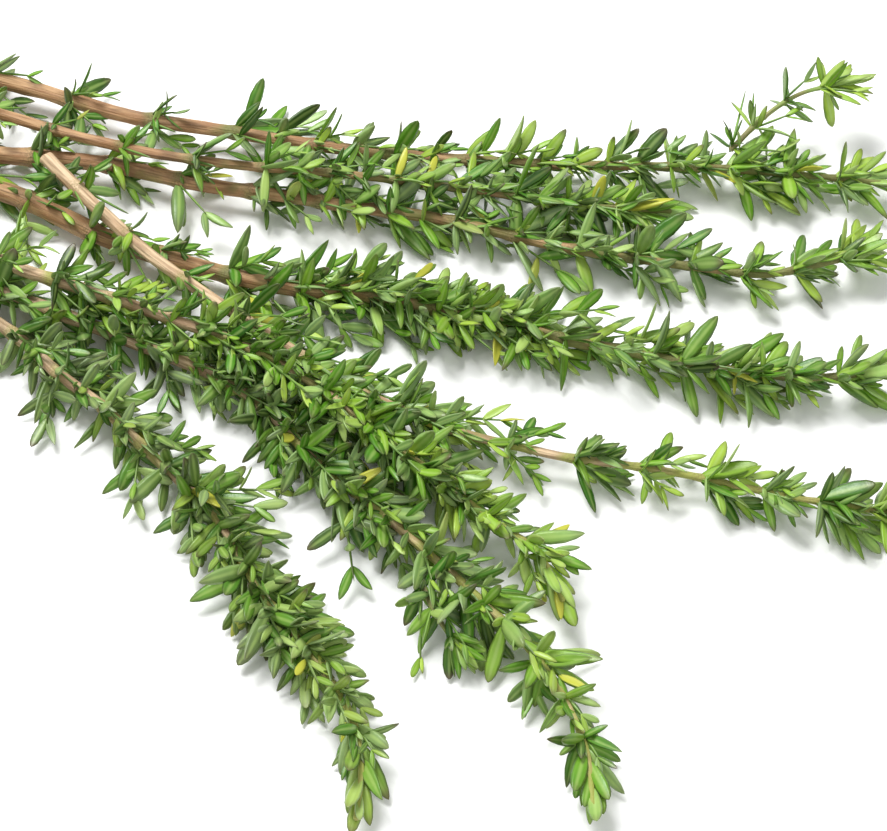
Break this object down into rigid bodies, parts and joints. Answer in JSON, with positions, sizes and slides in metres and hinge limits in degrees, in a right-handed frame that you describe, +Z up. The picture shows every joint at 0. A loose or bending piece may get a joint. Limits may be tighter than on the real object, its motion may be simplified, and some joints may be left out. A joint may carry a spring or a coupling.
{
  "type": "thyme bundle",
  "caption": "Loose bundle of cut thyme sprigs lying on a surface: woody stems gathered at one end, small leaves in whorls fanning out to the tips.",
  "frame": {"origin": "middle of the bundle's footprint, on the surface it lies on", "axes": "+X from the cut ends to the tips, +Z up"},
  "size_m": [0.2222, 0.1838, 0.0197],
  "materials": {
    "wood": "dry bark, brown to tan, fine lengthwise ridges",
    "shoot_wood": "young stem, green-brown, satin",
    "leaf": "satin leaf, mid to dark green, paler below",
    "young_leaf": "satin leaf, bright green, paler below"
  },
  "bodies": {
    "root": {"shoot_1_leaves": "young_leaf", "shoot_1_stem": "shoot_wood", "shoot_2_leaves": "young_leaf", "shoot_2_stem": "shoot_wood", "sprig_1_leaves_1": "leaf", "sprig_1_leaves_2": "leaf", "sprig_1_leaves_3": "leaf", "sprig_1_leaves_4": "leaf", "sprig_1_leaves_5": "leaf", "sprig_1_leaves_6": "leaf", "sprig_1_stem": "wood", "sprig_2_leaves_1": "leaf", "sprig_2_leaves_2": "leaf", "sprig_2_leaves_3": "leaf", "sprig_2_leaves_4": "leaf", "sprig_2_leaves_5": "leaf", "sprig_2_leaves_6": "leaf", "sprig_2_stem": "wood", "sprig_3_leaves_1": "leaf", "sprig_3_leaves_2": "leaf", "sprig_3_leaves_3": "leaf", "sprig_3_leaves_4": "leaf", "sprig_3_leaves_5": "leaf", "sprig_3_leaves_6": "leaf", "sprig_3_stem": "wood", "sprig_4_leaves_1": "leaf", "sprig_4_leaves_2": "leaf", "sprig_4_leaves_3": "leaf", "sprig_4_leaves_4": "leaf", "sprig_4_leaves_5": "leaf", "sprig_4_leaves_6": "leaf", "sprig_4_stem": "wood", "sprig_5_leaves_1": "leaf", "sprig_5_leaves_2": "leaf", "sprig_5_leaves_3": "leaf", "sprig_5_leaves_4": "leaf", "sprig_5_leaves_5": "leaf", "sprig_5_stem": "wood", "sprig_6_leaves_1": "leaf", "sprig_6_leaves_2": "leaf", "sprig_6_leaves_3": "leaf", "sprig_6_leaves_4": "leaf", "sprig_6_leaves_5": "leaf", "sprig_6_leaves_6": "leaf", "sprig_6_stem": "wood", "sprig_7_leaves_1": "leaf", "sprig_7_leaves_2": "leaf", "sprig_7_leaves_3": "leaf", "sprig_7_leaves_4": "leaf", "sprig_7_leaves_5": "leaf", "sprig_7_leaves_6": "leaf", "sprig_7_stem": "wood", "sprig_8_leaves_1": "leaf", "sprig_8_leaves_2": "leaf", "sprig_8_leaves_3": "leaf", "sprig_8_leaves_4": "leaf", "sprig_8_leaves_5": "leaf", "sprig_8_leaves_6": "leaf", "sprig_8_stem": "wood"}
  },
  "joints": []
}
